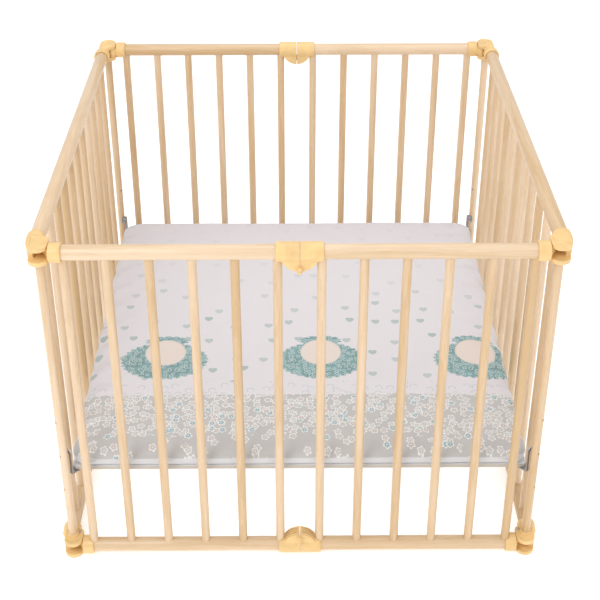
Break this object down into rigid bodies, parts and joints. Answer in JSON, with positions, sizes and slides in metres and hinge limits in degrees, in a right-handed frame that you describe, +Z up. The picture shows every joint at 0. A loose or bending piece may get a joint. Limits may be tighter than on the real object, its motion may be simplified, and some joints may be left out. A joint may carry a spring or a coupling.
{
  "type": "folding playpen",
  "caption": "Square folding playpen with round wooden bars, moulded plastic corner and middle hinges, and a padded floor hung on pegs.",
  "frame": {"origin": "bottom centre of the square, on the ground", "axes": "+Z up; +Y from the front panel towards the back panel; +X towards the right panel. The front and back panels fold inwards, the left and right ones are stiff"},
  "size_m": [0.9684, 0.9788, 0.73],
  "materials": {
    "wood": "satin lacquer",
    "hinge_plastic": "satin",
    "steel": "zinc plated",
    "board": "white laminate",
    "fabric": "printed cotton"
  },
  "bodies": {
    "left_side": {"left_side_bottom_rail_and_bars": "wood", "left_side_top_rail": "wood", "left_front_post": "wood", "left_front_floor_peg": "steel", "left_front_top_corner_fitting": "hinge_plastic", "left_front_top_corner_pin": "steel", "left_front_bottom_corner_fitting": "hinge_plastic", "left_front_bottom_corner_pin": "steel", "left_back_post": "wood", "left_back_floor_peg": "steel", "left_back_top_corner_fitting": "hinge_plastic", "left_back_top_corner_pin": "steel", "left_back_bottom_corner_fitting": "hinge_plastic", "left_back_bottom_corner_pin": "steel"},
    "right_side": {"right_side_bottom_rail_and_bars": "wood", "right_side_top_rail": "wood", "right_front_post": "wood", "right_front_floor_peg": "steel", "right_front_top_corner_fitting": "hinge_plastic", "right_front_top_corner_pin": "steel", "right_front_bottom_corner_fitting": "hinge_plastic", "right_front_bottom_corner_pin": "steel", "right_back_post": "wood", "right_back_floor_peg": "steel", "right_back_top_corner_fitting": "hinge_plastic", "right_back_top_corner_pin": "steel", "right_back_bottom_corner_fitting": "hinge_plastic", "right_back_bottom_corner_pin": "steel"},
    "front_left": {"front_left_bottom_rail_and_bars": "wood", "front_left_top_rail": "wood", "front_left_top_end_fitting": "hinge_plastic", "front_left_top_hinge_half": "hinge_plastic", "front_left_bottom_end_fitting": "hinge_plastic", "front_left_bottom_hinge_half": "hinge_plastic"},
    "front_right": {"front_right_bottom_rail_and_bars": "wood", "front_right_top_rail": "wood", "front_right_top_end_fitting": "hinge_plastic", "front_right_top_hinge_half": "hinge_plastic", "front_right_bottom_end_fitting": "hinge_plastic", "front_right_bottom_hinge_half": "hinge_plastic"},
    "back_left": {"back_left_bottom_rail_and_bars": "wood", "back_left_top_rail": "wood", "back_left_top_end_fitting": "hinge_plastic", "back_left_top_hinge_half": "hinge_plastic", "back_left_bottom_end_fitting": "hinge_plastic", "back_left_bottom_hinge_half": "hinge_plastic"},
    "back_right": {"back_right_bottom_rail_and_bars": "wood", "back_right_top_rail": "wood", "back_right_top_end_fitting": "hinge_plastic", "back_right_top_hinge_half": "hinge_plastic", "back_right_bottom_end_fitting": "hinge_plastic", "back_right_bottom_hinge_half": "hinge_plastic"},
    "floor": {"floor_board": "board", "mattress": "fabric", "left_front_floor_hook": "steel", "left_back_floor_hook": "steel", "right_front_floor_hook": "steel", "right_back_floor_hook": "steel"}
  },
  "joints": [
    {"name": "fold", "type": "hinge", "parent": "left_side", "child": "front_left", "pos_m": [-0.445, -0.449, 0.365], "axis": [0, 0, 1], "range_deg": [0, 88], "deforming": ["mattress", "floor_board", "left_front_floor_hook", "left_back_floor_hook", "right_front_floor_hook", "right_back_floor_hook"]},
    {"name": "front_middle_hinge", "type": "hinge", "parent": "front_left", "child": "front_right", "pos_m": [0, -0.485, 0.365], "axis": [0, 0, 1], "range_deg": [-176, 0]},
    {"name": "right_front_corner_hinge", "type": "hinge", "parent": "front_right", "child": "right_side", "pos_m": [0.445, -0.449, 0.365], "axis": [0, 0, 1], "range_deg": [0, 88]},
    {"name": "left_back_corner_hinge", "type": "hinge", "parent": "left_side", "child": "back_left", "pos_m": [-0.445, 0.449, 0.365], "axis": [0, 0, 1], "range_deg": [-88, 0]},
    {"name": "back_middle_hinge", "type": "hinge", "parent": "back_left", "child": "back_right", "pos_m": [0, 0.485, 0.365], "axis": [0, 0, 1], "range_deg": [0, 176]},
    {"name": "floor_lift", "type": "slide", "parent": "left_side", "child": "floor", "axis": [0, 0, 1], "range_m": [0, 1.2]}
  ],
  "couplings": [
    {"joint": "front_middle_hinge", "follows": "fold", "ratio": -2},
    {"joint": "right_front_corner_hinge", "follows": "fold", "ratio": 1},
    {"joint": "left_back_corner_hinge", "follows": "fold", "ratio": -1},
    {"joint": "back_middle_hinge", "follows": "fold", "ratio": 2},
    {"joint": "floor_lift", "follows": "fold", "m_per_rad": 0.78}
  ]
}
